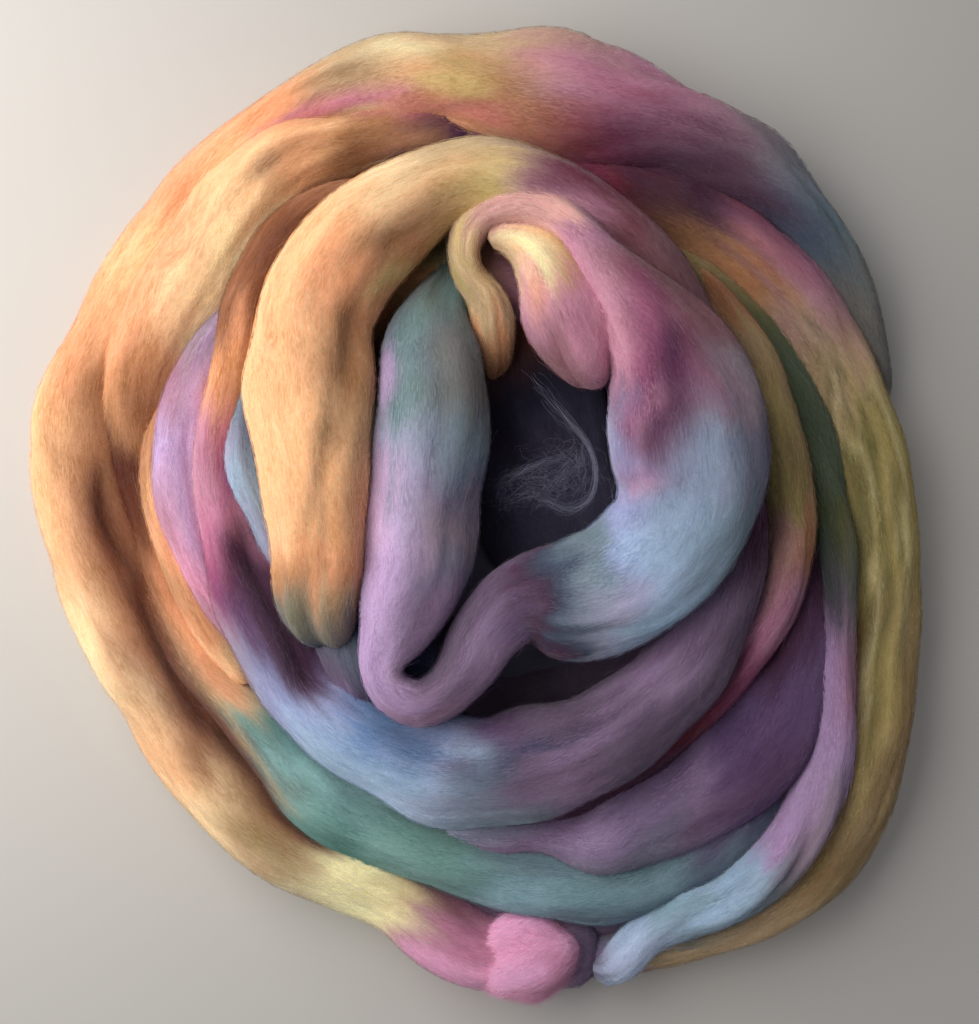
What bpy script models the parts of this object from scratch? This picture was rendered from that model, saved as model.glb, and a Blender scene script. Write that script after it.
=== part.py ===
"""A nest of hand-dyed wool roving: one soft, barely twisted rope of combed wool, wound round and round on a
table into a loose coil about 24 cm by 26 cm, with its last turns looped on top round a hollow.

Metres, +Z up, standing on Z = 0, with the origin under the middle of the coil.
+X is the coil's right and +Y its far side, as seen from above.
"""

import math

import bmesh
import bpy
from mathutils import Matrix, Vector

MM = 0.001

# The coil's middle in the tables below, in millimetres: it becomes the origin.
COIL_MIDDLE_X = -1.0
COIL_MIDDLE_Y = 0.3

# The roving's own section, and how finely it is drawn.
SIDES = 12  # points round a section
STEPS_PER_ROW = 2  # sections from one table row to the next
FOLD_HEIGHT = 0.07  # how far a lengthwise fold stands out, as a share of the section's radius

# The stretches are joined into one skin: first at this grain, then with this share of its faces kept.
SKIN_GRAIN = 0.0022
SKIN_SHARE = 0.105

# The surface that the coil lies on presses the lowest turns flat.
TABLE_BLOCK_WIDE = 0.400
TABLE_BLOCK_THICK = 0.030

# The bottom turns are a plain spiral, hidden from above and seen only from below and in the hollow.
# Its last turn keeps inside the outer ring: each row says how far out it runs at one bearing.
SPIRAL_TURNS = 3.7
SPIRAL_WIDENING_TURNS = 2.8
SPIRAL_ROWS_PER_TURN = 18
SPIRAL_HEIGHT = 11.5
SPIRAL_WIDE = 36.0
SPIRAL_THICK = 25.0
SPIRAL_OUTLINE = (
    # bearing in degrees, distance out in millimetres
    (0, 84),
    (30, 86),
    (60, 92),
    (90, 90),
    (120, 90),
    (150, 88),
    (180, 84),
    (210, 76),
    (240, 80),
    (270, 92),
    (285, 100),
    (300, 101),
    (330, 97),
    (360, 84),
)

# A second layer lies on it and carries the loops on top.
CARRYING_TURNS = 1.3
CARRYING_START = 0.66
CARRYING_END = 0.84
CARRYING_HEIGHT = 25.0
CARRYING_WIDE = 27.0
CARRYING_THICK = 22.0

# Each table is one stretch of the roving, with a row for each section along it.
# Its columns, all in millimetres: x and y of the section's middle seen from above, z of its middle above the
# table, how wide the roving is there seen from above, and how thick it is.
COLUMNS = ("x", "y", "z", "wide", "thick")

# Lowest ring: right side, far side, left side, near side, ending in a round tuft.
OUTER_TURN = (
    (112, 30, 6, 5, 8),
    (110, 42, 8, 8, 12),
    (103, 59, 10, 12, 18),
    (92, 78, 13, 16, 22),
    (74, 94, 16, 21, 25),
    (54, 104, 18, 26, 27),
    (33, 110, 19, 30, 28),
    (10, 115, 18, 30, 28),
    (-12, 117, 16, 27, 27),
    (-33, 115, 14, 23, 26),
    (-51, 107, 13, 20, 25),
    (-66, 96, 12, 21, 25),
    (-79, 81, 12, 21, 25),
    (-89, 67, 12, 21, 25),
    (-98, 53, 12, 21, 25),
    (-105, 38, 12, 22, 26),
    (-108, 22, 12, 23, 26),
    (-107, 5, 12, 24, 26),
    (-102, -13, 12, 24, 26),
    (-96, -27, 12, 24, 26),
    (-87, -43, 12, 25, 26),
    (-77, -59, 12, 25, 26),
    (-66, -74, 12, 24, 26),
    (-52, -87, 12, 22, 25),
    (-36, -96, 11, 20, 23),
    (-22, -103, 10, 17, 21),
    (-11, -109, 11, 19, 23),
    (0, -116, 11, 20, 24),
    (11, -117, 12, 24, 26),
    (22, -118, 7, 13, 13),
    (29, -118, 5, 7, 7),
)

# Inside the ring: far side, left side, then round the near side and away under the other turns.
INNER_TURN = (
    (4, 109, 12, 14, 16),
    (-14, 105, 13, 16, 18),
    (-34, 100, 17, 18, 22),
    (-50, 94, 21, 20, 23),
    (-62, 84, 22, 20, 24),
    (-73, 70, 22, 20, 24),
    (-82, 56, 21, 20, 24),
    (-89, 42, 19, 20, 22),
    (-93, 28, 16, 20, 21),
    (-94, 13, 12, 18, 20),
    (-91, -3, 11, 16, 19),
    (-87, -17, 12, 14, 20),
    (-81, -30, 12, 13, 20),
    (-73, -42, 13, 13, 20),
    (-65, -51, 14, 14, 20),
    (-57, -60, 14, 16, 21),
    (-47, -71, 14, 18, 22),
    (-34, -81, 14, 18, 22),
    (-19, -88, 14, 17, 22),
    (-3, -93, 14, 18, 22),
    (13, -96, 14, 18, 22),
    (30, -96, 14, 18, 22),
    (46, -92, 12, 17, 21),
    (61, -84, 11, 16, 20),
    (74, -72, 10, 16, 20),
    (83, -57, 10, 16, 20),
    (87, -40, 10, 15, 20),
    (88, -22, 10, 12, 18),
)

# The broad flat band down the right side, thin where it begins under the tuft.
RIGHT_BAND = (
    (26, -120, 5, 7, 8),
    (42, -118, 7, 9, 13),
    (58, -113, 9, 12, 17),
    (74, -106, 10, 15, 20),
    (88, -95, 11, 18, 22),
    (98, -82, 11, 20, 23),
    (103, -66, 11, 21, 24),
    (106, -48, 11, 22, 24),
    (107, -30, 11, 23, 24),
    (108, -12, 11, 22, 24),
    (106, 6, 12, 23, 24),
    (102, 22, 12, 24, 24),
    (96, 37, 12, 25, 24),
    (87, 52, 12, 26, 24),
    (76, 65, 13, 27, 23),
    (62, 76, 13, 27, 22),
    (46, 84, 14, 26, 23),
    (28, 91, 14, 24, 23),
    (10, 98, 13, 20, 20),
    (-6, 103, 12, 16, 16),
)

# From the tuft up over the band's inner edge, along the right side.
RISING_TURN = (
    (29, -118, 8, 9, 10),
    (38, -114, 13, 13, 15),
    (48, -107, 16, 14, 17),
    (60, -102, 19, 14, 18),
    (72, -95, 21, 15, 19),
    (82, -85, 22, 15, 19),
    (89, -72, 23, 14, 19),
    (93, -56, 23, 11, 18),
    (93, -40, 22, 10, 17),
    (94, -24, 21, 10, 16),
    (94, -8, 19, 11, 16),
    (92, 8, 18, 12, 16),
    (88, 24, 18, 12, 16),
    (81, 38, 18, 12, 16),
    (72, 51, 17, 12, 16),
    (60, 62, 16, 13, 16),
    (46, 70, 15, 13, 16),
)

# A thin turn on the right, which narrows away on the near side.
THIN_TURN = (
    (50, 66, 22, 11, 16),
    (60, 58, 25, 10, 16),
    (68, 49, 26, 10, 17),
    (74, 38, 27, 10, 17),
    (79, 25, 27, 11, 18),
    (82, 11, 27, 12, 19),
    (83, -3, 27, 13, 20),
    (81, -17, 26, 13, 20),
    (76, -29, 25, 12, 19),
    (69, -41, 24, 12, 18),
    (60, -52, 23, 11, 17),
    (48, -62, 22, 10, 16),
    (34, -70, 22, 9, 14),
    (18, -76, 21, 8, 12),
)

# The broad turn between the thin one and the right band.
BROAD_TURN = (
    (88, -8, 14, 10, 14),
    (87, -22, 17, 13, 18),
    (83, -37, 19, 17, 21),
    (76, -50, 20, 20, 23),
    (66, -61, 20, 21, 23),
    (54, -71, 20, 21, 23),
    (42, -79, 20, 19, 22),
    (31, -85, 20, 16, 20),
    (18, -85, 18, 9, 14),
    (4, -86, 17, 8, 12),
    (-10, -84, 16, 7, 10),
)

# Two short stretches that show between the turns on the left.
LEFT_STRETCH = (
    (-58, 52, 20, 11, 17),
    (-67, 42, 23, 13, 19),
    (-75, 30, 25, 15, 21),
    (-79, 16, 25, 16, 21),
    (-79, 2, 25, 15, 21),
    (-76, -11, 24, 13, 20),
    (-70, -24, 22, 11, 18),
    (-61, -36, 20, 9, 15),
)
LEFT_EDGE = (
    (-80, 28, 15, 9, 15),
    (-85, 14, 17, 10, 16),
    (-85, 0, 18, 10, 16),
    (-82, -12, 18, 10, 16),
    (-76, -23, 18, 10, 16),
    (-67, -35, 18, 9, 15),
    (-59, -44, 17, 8, 13),
)

# The main middle turn: down the left side, broad across the near side, and up the right.
MIDDLE_TURN = (
    (-45, 62, 24, 12, 16),
    (-56, 52, 28, 13, 19),
    (-63, 39, 30, 14, 21),
    (-67, 25, 31, 14, 22),
    (-69, 10, 32, 14, 23),
    (-68, -5, 32, 17, 24),
    (-63, -19, 32, 20, 25),
    (-57, -31, 32, 22, 26),
    (-49, -42, 32, 21, 26),
    (-39, -53, 33, 20, 26),
    (-26, -61, 33, 23, 27),
    (-12, -66, 33, 26, 28),
    (3, -67, 33, 30, 28),
    (18, -63, 33, 28, 28),
    (32, -57, 33, 25, 27),
    (45, -47, 33, 23, 26),
    (56, -35, 32, 21, 25),
    (63, -21, 31, 18, 24),
    (66, -6, 30, 16, 22),
    (64, 10, 30, 14, 20),
)

# A short stretch between the middle turn and the left loop.
MIDDLE_STRETCH = (
    (-54, 38, 30, 11, 17),
    (-59, 26, 33, 13, 20),
    (-60, 12, 34, 15, 22),
    (-58, -1, 34, 15, 22),
    (-53, -12, 33, 14, 20),
    (-47, -22, 30, 12, 18),
    (-40, -33, 27, 12, 16),
)

# On top, the left loop: from the right over the far side and down the left, where it dives.
LEFT_LOOP = (
    (63, 18, 34, 10, 18),
    (61, 33, 38, 13, 20),
    (54, 45, 42, 17, 22),
    (43, 57, 45, 19, 24),
    (31, 66, 48, 21, 25),
    (19, 74, 50, 21, 26),
    (5, 78, 51, 23, 27),
    (-10, 77, 52, 23, 27),
    (-23, 69, 53, 25, 28),
    (-34, 59, 53, 28, 29),
    (-40, 45, 54, 30, 29),
    (-41, 31, 54, 31, 29),
    (-41, 16, 54, 29, 29),
    (-40, 2, 53, 26, 28),
    (-39, -11, 50, 22, 27),
    (-37, -22, 44, 18, 25),
    (-35, -33, 36, 15, 22),
    (-31, -43, 28, 14, 19),
    (-24, -50, 24, 12, 17),
)

# The last turn: down beside the hollow, back in a tight bend, then up the right side as the broadest
# stretch of all, over the far end, and down into the hollow as a thin tail.
LAST_TURN = (
    (0, 66, 34, 13, 18),
    (-6, 57, 40, 16, 21),
    (-10, 46, 45, 20, 23),
    (-12, 33, 48, 25, 25),
    (-12, 19, 49, 27, 26),
    (-13, 5, 49, 27, 26),
    (-15, -9, 49, 24, 25),
    (-18, -22, 48, 19, 23),
    (-22, -33, 47, 14, 21),
    (-22, -42, 46, 12, 19),
    (-16, -48, 46, 12, 18),
    (-8, -46, 46, 13, 19),
    (-1, -38, 46, 15, 20),
    (5, -30, 45, 17, 21),
    (13, -24, 42, 18, 21),
    (23, -22, 40, 18, 21),
    (35, -18, 43, 24, 24),
    (46, -9, 48, 31, 26),
    (51, 4, 52, 35, 28),
    (51, 18, 54, 36, 28),
    (47, 32, 56, 32, 27),
    (41, 45, 58, 27, 25),
    (33, 56, 59, 23, 23),
    (23, 65, 59, 18, 20),
    (11, 70, 58, 13, 17),
    (2, 69, 55, 10, 14),
    (-3, 61, 51, 7, 12),
    (-1, 53, 46, 7, 12),
    (3, 45, 40, 9, 13),
    (4, 38, 33, 9, 12),
    (5, 30, 24, 7, 10),
)

# The fold that bulges inwards at the last turn's far end.
INNER_FOLD = (
    (6, 65, 50, 8, 11),
    (13, 62, 53, 14, 16),
    (17, 54, 54, 19, 20),
    (21, 45, 54, 21, 22),
    (26, 37, 52, 19, 22),
    (32, 28, 48, 16, 20),
    (36, 18, 45, 14, 18),
    (38, 6, 43, 13, 16),
)

# A turn that is buried below the loops and carries them.
BURIED_TURN = (
    (56, -10, 30, 22, 22),
    (58, 8, 31, 24, 24),
    (54, 26, 32, 24, 26),
    (44, 42, 33, 24, 28),
    (30, 54, 34, 24, 30),
    (12, 60, 33, 24, 28),
    (-6, 61, 31, 24, 26),
    (-24, 56, 31, 24, 26),
    (-37, 45, 31, 24, 26),
    (-42, 30, 31, 24, 26),
    (-42, 14, 31, 24, 26),
    (-38, -2, 31, 24, 26),
    (-30, -16, 31, 24, 26),
    (-22, -28, 30, 22, 24),
    (-12, -38, 28, 22, 22),
    (-2, -46, 26, 22, 20),
)
BURIED_CROSSING = (
    (-16, 52, 29, 18, 20),
    (-15, 38, 30, 22, 22),
    (-14, 22, 30, 22, 22),
    (-15, 6, 30, 22, 22),
    (-18, -10, 30, 22, 22),
    (-24, -26, 29, 18, 20),
)

# Every stretch by name, with how many lengthwise folds its surface has and how far they turn round it, in
# degrees for each 100 mm of length.
STRETCHES = (
    ("outer_turn", OUTER_TURN, 3, 40),
    ("inner_turn", INNER_TURN, 3, 55),
    ("right_band", RIGHT_BAND, 5, 12),
    ("rising_turn", RISING_TURN, 2, 60),
    ("thin_turn", THIN_TURN, 2, 30),
    ("broad_turn", BROAD_TURN, 4, 15),
    ("left_stretch", LEFT_STRETCH, 3, 20),
    ("left_edge", LEFT_EDGE, 2, 30),
    ("middle_turn", MIDDLE_TURN, 4, 25),
    ("middle_stretch", MIDDLE_STRETCH, 2, 30),
    ("left_loop", LEFT_LOOP, 3, 35),
    ("last_turn", LAST_TURN, 3, 40),
    ("inner_fold", INNER_FOLD, 2, 20),
    ("buried_turn", BURIED_TURN, 0, 0),
    ("buried_crossing", BURIED_CROSSING, 0, 0),
)


def clear_scene():
    """Leaves an empty scene."""
    for item in list(bpy.data.objects):
        bpy.data.objects.remove(item, do_unlink=True)


def new_collection(name):
    """An empty collection in the scene."""
    collection = bpy.data.collections.new(name)
    bpy.context.scene.collection.children.link(collection)
    return collection


def wool_material():
    """Combed wool: matt, with no shine of its own. Its plain colour is the mean of the dyes."""
    material = bpy.data.materials.new("dyed_wool")
    material.use_nodes = True
    shader = material.node_tree.nodes["Principled BSDF"]
    shader.inputs["Base Color"].default_value = (0.56, 0.37, 0.36, 1.0)
    shader.inputs["Roughness"].default_value = 0.95
    shader.inputs["Metallic"].default_value = 0.0
    return material


def distance_out(bearing):
    """How far out the bottom layer's last turn runs at a bearing in degrees."""
    bearing = bearing % 360
    for (first, near), (second, far) in zip(SPIRAL_OUTLINE, SPIRAL_OUTLINE[1:]):
        if bearing <= second:
            return near + (far - near) * (bearing - first) / (second - first)
    return SPIRAL_OUTLINE[-1][1]


def spiral(turns, widening, start, end, height, wide, thick):
    """Rows of a spiral from the middle outwards. It starts and ends at shares of the outline's distance, and
    stops widening after some of its turns.
    """
    rows = []
    for index in range(round(turns * SPIRAL_ROWS_PER_TURN) + 1):
        turn = index / SPIRAL_ROWS_PER_TURN
        bearing = 360 * turn
        out = distance_out(bearing) * (start + (end - start) * min(turn / widening, 1.0))
        x = COIL_MIDDLE_X + out * math.cos(math.radians(bearing))
        y = COIL_MIDDLE_Y + out * math.sin(math.radians(bearing))
        rows.append((x, y, height, wide, thick))
    return rows


def between(before, start, end, after, share):
    """One value of the smooth curve that runs through its rows: the stretch from start to end."""
    square = share * share
    cube = square * share
    return 0.5 * (
        2 * start
        + (end - before) * share
        + (2 * before - 5 * start + 4 * end - after) * square
        + (3 * start - before - 3 * end + after) * cube
    )


def smooth_rows(table, steps):
    """The table's rows with steps - 1 more between each two, on a smooth curve through them."""
    rows = []
    last = len(table) - 1
    for index in range(last):
        near = (table[max(index - 1, 0)], table[index], table[index + 1], table[min(index + 2, last)])
        for step in range(steps):
            share = step / steps
            rows.append([between(*values, share) for values in zip(*near)])
    rows.append(list(table[last]))
    return [dict(zip(COLUMNS, row)) for row in rows]


def section_ring(row, along, folds, turned):
    """Points round one section. It stands square to the roving's run, with its width level."""
    side = Vector((-along.y, along.x, 0.0)).normalized()
    over = along.cross(side)
    middle = Vector((row["x"] - COIL_MIDDLE_X, row["y"] - COIL_MIDDLE_Y, row["z"]))
    ring = []
    for index in range(SIDES):
        angle = 2 * math.pi * index / SIDES
        fold = 1.0 + FOLD_HEIGHT * math.cos(folds * angle + turned) if folds else 1.0
        across = side * (row["wide"] / 2 * fold * math.cos(angle))
        upward = over * (row["thick"] / 2 * fold * math.sin(angle))
        ring.append((middle + across + upward) * MM)
    return ring


def rounded_end(mesh, ring, outwards):
    """A smaller ring beyond a stretch's last one, so that the stretch ends rounded."""
    middle = sum((vert.co for vert in ring), Vector()) / len(ring)
    reach = min((vert.co - middle).length for vert in ring)
    tip = middle + outwards.normalized() * reach * 0.7
    return [mesh.verts.new(tip + (vert.co - middle) * 0.55) for vert in ring]


def roving_stretch(name, table, folds, turn_per_100, steps=STEPS_PER_ROW):
    """A closed tube with the table's sections, rounded at both ends."""
    rows = smooth_rows(table, steps)
    spots = [Vector((row["x"], row["y"], row["z"])) for row in rows]
    mesh = bmesh.new()
    rings = []
    turned = 0.0
    for index, row in enumerate(rows):
        ahead = spots[min(index + 1, len(spots) - 1)]
        behind = spots[max(index - 1, 0)]
        if index:
            turned += math.radians(turn_per_100) * (spots[index] - spots[index - 1]).length / 100
        points = section_ring(row, (ahead - behind).normalized(), folds, turned)
        rings.append([mesh.verts.new(point) for point in points])
    rings.insert(0, rounded_end(mesh, rings[0], spots[0] - spots[1]))
    rings.append(rounded_end(mesh, rings[-1], spots[-1] - spots[-2]))
    for first, second in zip(rings, rings[1:]):
        for index in range(SIDES):
            following = (index + 1) % SIDES
            mesh.faces.new((first[index], first[following], second[following], second[index]))
    for ring in (rings[0], rings[-1]):
        mesh.faces.new(ring)
    bmesh.ops.recalc_face_normals(mesh, faces=mesh.faces)
    data = bpy.data.meshes.new(name)
    mesh.to_mesh(data)
    mesh.free()
    return bpy.data.objects.new(name, data)


def helper(item, collection):
    """Puts a shape among the helpers, which aren't part of the model themselves."""
    item.hide_render = True
    item.display_type = "WIRE"
    collection.objects.link(item)


def table_block(collection):
    """The block whose top is the table: what would reach below it is pressed flat."""
    bpy.ops.mesh.primitive_cube_add(size=1.0, location=(0.0, 0.0, -TABLE_BLOCK_THICK / 2))
    block = bpy.context.object
    block.name = "table_block"
    block.data.transform(Matrix.Diagonal((TABLE_BLOCK_WIDE, TABLE_BLOCK_WIDE, TABLE_BLOCK_THICK, 1.0)))
    for owner in list(block.users_collection):
        owner.objects.unlink(block)
    helper(block, collection)
    return block


def lumped(name, stretches):
    """All the stretches in one mesh, still passing through each other."""
    mesh = bmesh.new()
    for item in stretches:
        mesh.from_mesh(item.data)
    data = bpy.data.meshes.new(name)
    mesh.to_mesh(data)
    mesh.free()
    return bpy.data.objects.new(name, data)


def one_skin(item, block):
    """The stretches' common outer skin, as wool that has nestled together, cut flat by the table."""
    nestle = item.modifiers.new("nestle", "REMESH")
    nestle.mode = "VOXEL"
    nestle.voxel_size = SKIN_GRAIN
    nestle.adaptivity = 0.0
    thin_out = item.modifiers.new("thin_out", "DECIMATE")
    thin_out.ratio = SKIN_SHARE
    press = item.modifiers.new("table", "BOOLEAN")
    press.operation = "DIFFERENCE"
    press.solver = "EXACT"
    press.object = block
    bpy.context.view_layer.update()
    graph = bpy.context.evaluated_depsgraph_get()
    return bpy.data.meshes.new_from_object(item.evaluated_get(graph))


def without_flaps(data):
    """Triangles only, and without the flaps that thinning out leaves: two faces back to back."""
    mesh = bmesh.new()
    mesh.from_mesh(data)
    bmesh.ops.triangulate(mesh, faces=mesh.faces)
    corners = {}
    for face in mesh.faces:
        corners.setdefault(frozenset(vert.index for vert in face.verts), []).append(face)
    flaps = [face for faces in corners.values() if len(faces) > 1 for face in faces]
    bmesh.ops.delete(mesh, geom=flaps, context="FACES")
    mesh.to_mesh(data)
    mesh.free()


def build():
    """The coil as one solid, with the shapes that it was made from kept among the helpers."""
    clear_scene()
    model = new_collection("wool_roving_nest")
    helpers = new_collection("helpers")
    bottom = spiral(
        SPIRAL_TURNS, SPIRAL_WIDENING_TURNS, 0.0, 1.0, SPIRAL_HEIGHT, SPIRAL_WIDE, SPIRAL_THICK
    )
    carrying = spiral(
        CARRYING_TURNS,
        CARRYING_TURNS,
        CARRYING_START,
        CARRYING_END,
        CARRYING_HEIGHT,
        CARRYING_WIDE,
        CARRYING_THICK,
    )
    stretches = [
        roving_stretch("bottom_turns", bottom, 0, 0, 1),
        roving_stretch("carrying_turns", carrying, 0, 0, 1),
    ]
    for name, table, folds, turn_per_100 in STRETCHES:
        stretches.append(roving_stretch(name, table, folds, turn_per_100))
    for item in stretches:
        helper(item, helpers)
    lump = lumped("all_stretches", stretches)
    helper(lump, helpers)
    data = one_skin(lump, table_block(helpers))
    without_flaps(data)
    data.name = "roving"
    data.materials.clear()
    data.materials.append(wool_material())
    data.shade_smooth()
    roving = bpy.data.objects.new("roving", data)
    model.objects.link(roving)


build()
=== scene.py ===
import math

import bmesh
import bpy
import numpy as np
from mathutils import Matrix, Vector
from mathutils.bvhtree import BVHTree


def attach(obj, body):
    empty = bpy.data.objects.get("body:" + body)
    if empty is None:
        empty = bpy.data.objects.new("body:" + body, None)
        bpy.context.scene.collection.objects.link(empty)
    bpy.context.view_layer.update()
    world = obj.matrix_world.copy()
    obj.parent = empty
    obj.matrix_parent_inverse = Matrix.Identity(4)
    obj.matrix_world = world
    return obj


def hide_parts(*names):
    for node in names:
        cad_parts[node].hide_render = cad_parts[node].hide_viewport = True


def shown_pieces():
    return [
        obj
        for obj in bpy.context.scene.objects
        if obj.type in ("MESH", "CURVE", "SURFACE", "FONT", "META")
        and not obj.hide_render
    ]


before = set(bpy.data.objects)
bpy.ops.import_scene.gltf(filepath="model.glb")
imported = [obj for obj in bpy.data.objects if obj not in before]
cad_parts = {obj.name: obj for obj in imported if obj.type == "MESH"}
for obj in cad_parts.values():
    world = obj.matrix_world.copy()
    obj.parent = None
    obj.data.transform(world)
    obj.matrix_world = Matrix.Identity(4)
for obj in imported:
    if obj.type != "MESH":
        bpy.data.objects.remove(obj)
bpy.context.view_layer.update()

# --------------------
# The lowest turns. The nest starts as a flat spiral of the same roving, which carries every turn above it.
# It is combed wool, laid down by hand and pressed flat where it touches the table; nothing else holds it.

MM = 0.001

# The middle of the coil in the tables below, in millimetres, which stands on the origin.
MIDDLE = np.array((-1.0, 0.3, 0.0))

# The dye baths, as screen colours of the dry wool. Several darker ones, the browns, navy and the near-black,
# are also laid as painted shade in creases, valleys and the hollow.
DYES = {
    "apricot": (250, 205, 156), "peach": (240, 178, 132), "orange": (232, 158, 104), "tan": (206, 152, 108),
    "clay": (182, 124, 90), "rust": (152, 96, 64), "cocoa": (112, 64, 50), "butter": (252, 244, 200),
    "cream": (255, 228, 184), "honey": (226, 188, 130), "sand": (214, 186, 146), "straw": (220, 200, 136),
    "khaki": (178, 150, 106), "olive": (190, 170, 104), "moss": (128, 124, 82), "fern": (106, 118, 94),
    "forest": (66, 88, 76), "aqua": (176, 216, 214), "teal": (142, 182, 174), "pine": (80, 128, 118),
    "sea": (116, 150, 150), "mist": (150, 182, 192), "slate": (130, 148, 160), "steel": (92, 104, 124),
    "ash": (128, 126, 122), "night": (46, 38, 52), "ink": (80, 76, 98), "wisp": (132, 126, 148),
    "sky": (182, 206, 228), "pearl": (180, 180, 204), "periwinkle": (168, 174, 212),
    "blue": (122, 156, 200), "navy": (70, 82, 118), "lace": (240, 208, 236), "lavender": (206, 178, 216),
    "orchid": (190, 160, 200), "lilac": (172, 144, 184), "heather": (154, 126, 158),
    "purple": (122, 94, 136), "dusk": (118, 98, 122), "plum": (94, 58, 84), "dove": (164, 146, 156),
    "mauve": (178, 128, 150), "rosewood": (152, 104, 112), "magenta": (160, 76, 120),
    "candy": (246, 188, 222), "pink": (234, 172, 196), "rose": (218, 134, 168), "blush": (206, 152, 172),
    "shell": (230, 184, 176), "salmon": (206, 122, 128), "wine": (140, 62, 82),
}

# Waves in the roving's surface and in its dyes. Columns: how many, fewest and most round the section,
# shortest and longest along it in millimetres, height as a share of the section's radius.
LUMPS = ((9, 0, 3, 22, 75, 0.055),)
FOLDS = ((5, 1, 3, 60, 240, 0.075), (7, 3, 7, 45, 180, 0.035))
STRANDS = ((12, 8, 18, 30, 150, 0.006), (14, 18, 34, 16, 90, 0.003))
STREAKS = ((12, 1, 5, 18, 90, 0.8), (16, 5, 20, 20, 120, 0.4))

# How finely the turns are drawn: points round a section, and millimetres from section to section.
FINE = (76, 2.4)
HIDDEN = (36, 4.0)
CURVE_STEPS = 12  # points on the curve from each row of a table to the next one

SKIN = 0.985  # where the skin lies before the waves, as a share of the section's radius
BLUNT = 0.5  # how far the rounding of an end reaches, as a share of the roving's thickness
LOWEST_POINT = 0.15  # millimetres above the table
DYE_RUN = 4.5  # millimetres by which a fibre changes dye sooner or later
DYE_BORDER = 0.28  # how softly the left and the right dye meet
STAIN_RUN = 3.0  # millimetres by which a stain's ends run along the fibres
STAIN_WAVER = 9.0  # degrees by which its sides waver
LONGEST_FADE = 12.0  # millimetres over which a stain's or a crease's ends fade
STREAK_LIGHT = 0.03  # how much lighter the streaks are
# Painted shade: a crease's colour is darkened by this much for its depth.
CREASE_PAINTED_SHADE = 0.55  # how much darker a crease is for its depth
DARKEST = 0.004
GRAIN_APART = 977.0  # millimetres of grain from one stretch's start to the next one's


def placed(name, data):
    """A new object with this data, in the scene."""
    item = bpy.data.objects.new(name, data)
    bpy.context.scene.collection.objects.link(item)
    return item


def dye_and_painted_shade(name):
    """A listed colour, dye and painted shade alike, as the light that it reflects."""
    share = np.array(DYES[name]) / 255
    return tuple(np.where(share <= 0.04045, share / 12.92, ((share + 0.055) / 1.055) ** 2.4))


def smooth_run(rows, gap):
    """The rows' numbers at every gap along a smooth curve through them, and how far along each one is."""
    table = np.array(rows, float)
    near = np.vstack((2 * table[0] - table[1], table, 2 * table[-1] - table[-2]))
    share = np.linspace(0, 1, CURVE_STEPS, endpoint=False)[:, None]
    parts = []
    for before, start, end, after in zip(near, near[1:], near[2:], near[3:]):
        slope = end - before
        square = 2 * before - 5 * start + 4 * end - after
        cube = 3 * start - before - 3 * end + after
        parts.append(start + 0.5 * (slope * share + square * share**2 + cube * share**3))
    fine = np.vstack(parts + [table[-1:]])
    steps = np.linalg.norm(np.diff(fine[:, :3], axis=0), axis=1)
    reached = np.concatenate(([0.0], np.cumsum(steps)))
    stops = np.linspace(0, reached[-1], max(round(reached[-1] / gap), 4) + 1)
    return stops, np.column_stack([np.interp(stops, reached, column) for column in fine.T])


def ripples(seed, reached, angles, families):
    """Random waves over the roving's surface, which close on themselves round the section."""
    dice = np.random.default_rng(seed)
    total = np.zeros(np.broadcast(reached, angles).shape)
    for count, fewest, most, short, long, height in families:
        for _ in range(count):
            around = int(dice.integers(fewest, most + 1))
            length = dice.uniform(short, long) * (1 if dice.random() < 0.5 else -1)
            turn = dice.uniform(0, 2 * math.pi)
            wave = around * angles + 2 * math.pi * reached / length + turn
            total += height / math.sqrt(count) * np.cos(wave)
    return total


def patch(reached, angles, first, last, start, end, spread):
    """How strongly a strip lies on each spot: it runs from the first to the last millimetre along the
    stretch, from one bearing to another round it, and fades at its sides and ends."""
    share = np.clip((reached - first) / (last - first), 0, 1)
    off = (np.degrees(angles) - start - (end - start) * share + 180) % 360 - 180
    fade = min(LONGEST_FADE, (last - first) / 2.5)
    ends = np.clip(np.minimum(reached - first, last - reached) / fade, 0, 1)
    return np.exp(-((off / spread) ** 2)) * ends * ends * (3 - 2 * ends)


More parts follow.
